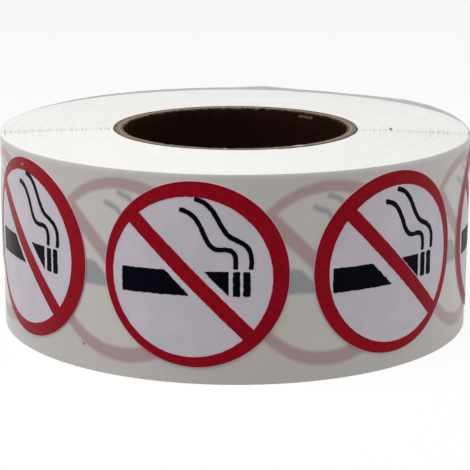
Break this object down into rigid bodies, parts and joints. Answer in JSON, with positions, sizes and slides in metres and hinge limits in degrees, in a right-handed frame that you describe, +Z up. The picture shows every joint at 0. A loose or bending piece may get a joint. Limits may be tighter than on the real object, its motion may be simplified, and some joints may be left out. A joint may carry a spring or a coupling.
{
  "type": "roll of no smoking labels",
  "caption": "Roll of round adhesive no smoking labels on a liner, wound on a cardboard core and standing on its end.",
  "frame": {"origin": "centre of the core's bore at the bottom face, on the surface that the roll stands on", "axes": "+Z up along the core's axis, -Y towards the viewer of the picture, +X to the viewer's right"},
  "size_m": [0.0698, 0.0698, 0.0286],
  "materials": {
    "core_board": "matte fibrous grey-brown board",
    "liner_paper": "satin glassine release paper",
    "label_paper": "semi-gloss coated white paper",
    "red_ink": "semi-gloss printed red",
    "black_ink": "semi-gloss printed black"
  },
  "bodies": {
    "root": {"core": "core_board", "wound_liner": "liner_paper", "label_1": "label_paper", "label_1_red_print": "red_ink", "label_1_black_print": "black_ink", "label_2": "label_paper", "label_2_red_print": "red_ink", "label_2_black_print": "black_ink", "label_3": "label_paper", "label_3_red_print": "red_ink", "label_3_black_print": "black_ink", "label_4": "label_paper", "label_4_red_print": "red_ink", "label_4_black_print": "black_ink", "label_5": "label_paper", "label_5_red_print": "red_ink", "label_5_black_print": "black_ink", "label_6": "label_paper", "label_6_red_print": "red_ink", "label_6_black_print": "black_ink", "label_7": "label_paper", "label_7_red_print": "red_ink", "label_7_black_print": "black_ink"}
  },
  "joints": []
}
